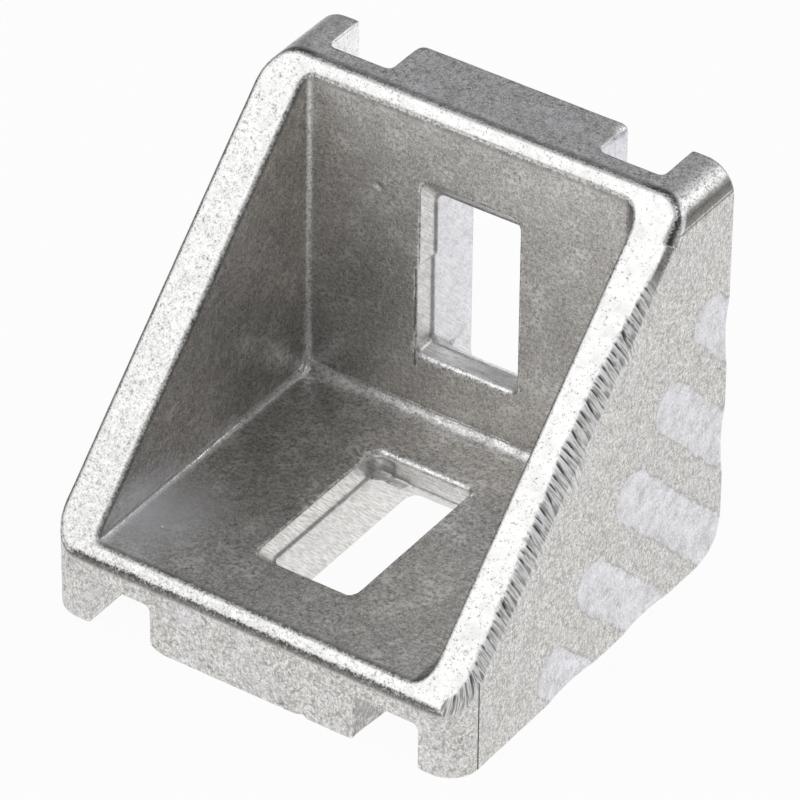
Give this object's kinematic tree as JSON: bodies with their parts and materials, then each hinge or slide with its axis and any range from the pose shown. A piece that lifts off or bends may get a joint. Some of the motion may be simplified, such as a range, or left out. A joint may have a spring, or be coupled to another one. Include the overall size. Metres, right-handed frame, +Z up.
{
  "type": "slotted profile corner bracket",
  "caption": "Die-cast right-angle bracket with a bolt slot in each leg, triangular side cheeks and a 45 degree rim, for joining slotted aluminium profiles.",
  "frame": {"origin": "on the foot's mating plane, under the middle of the bracket's outer box", "axes": "+Z up the upright leg, +Y out of the upright's mating side, -Y along the foot to its tip, +X to the right seen from the open side"},
  "size_m": [0.0382, 0.036, 0.036],
  "materials": {
    "casting": "tumbled die casting, light grey, satin"
  },
  "bodies": {
    "root": {"corner_bracket": "casting"}
  },
  "joints": []
}
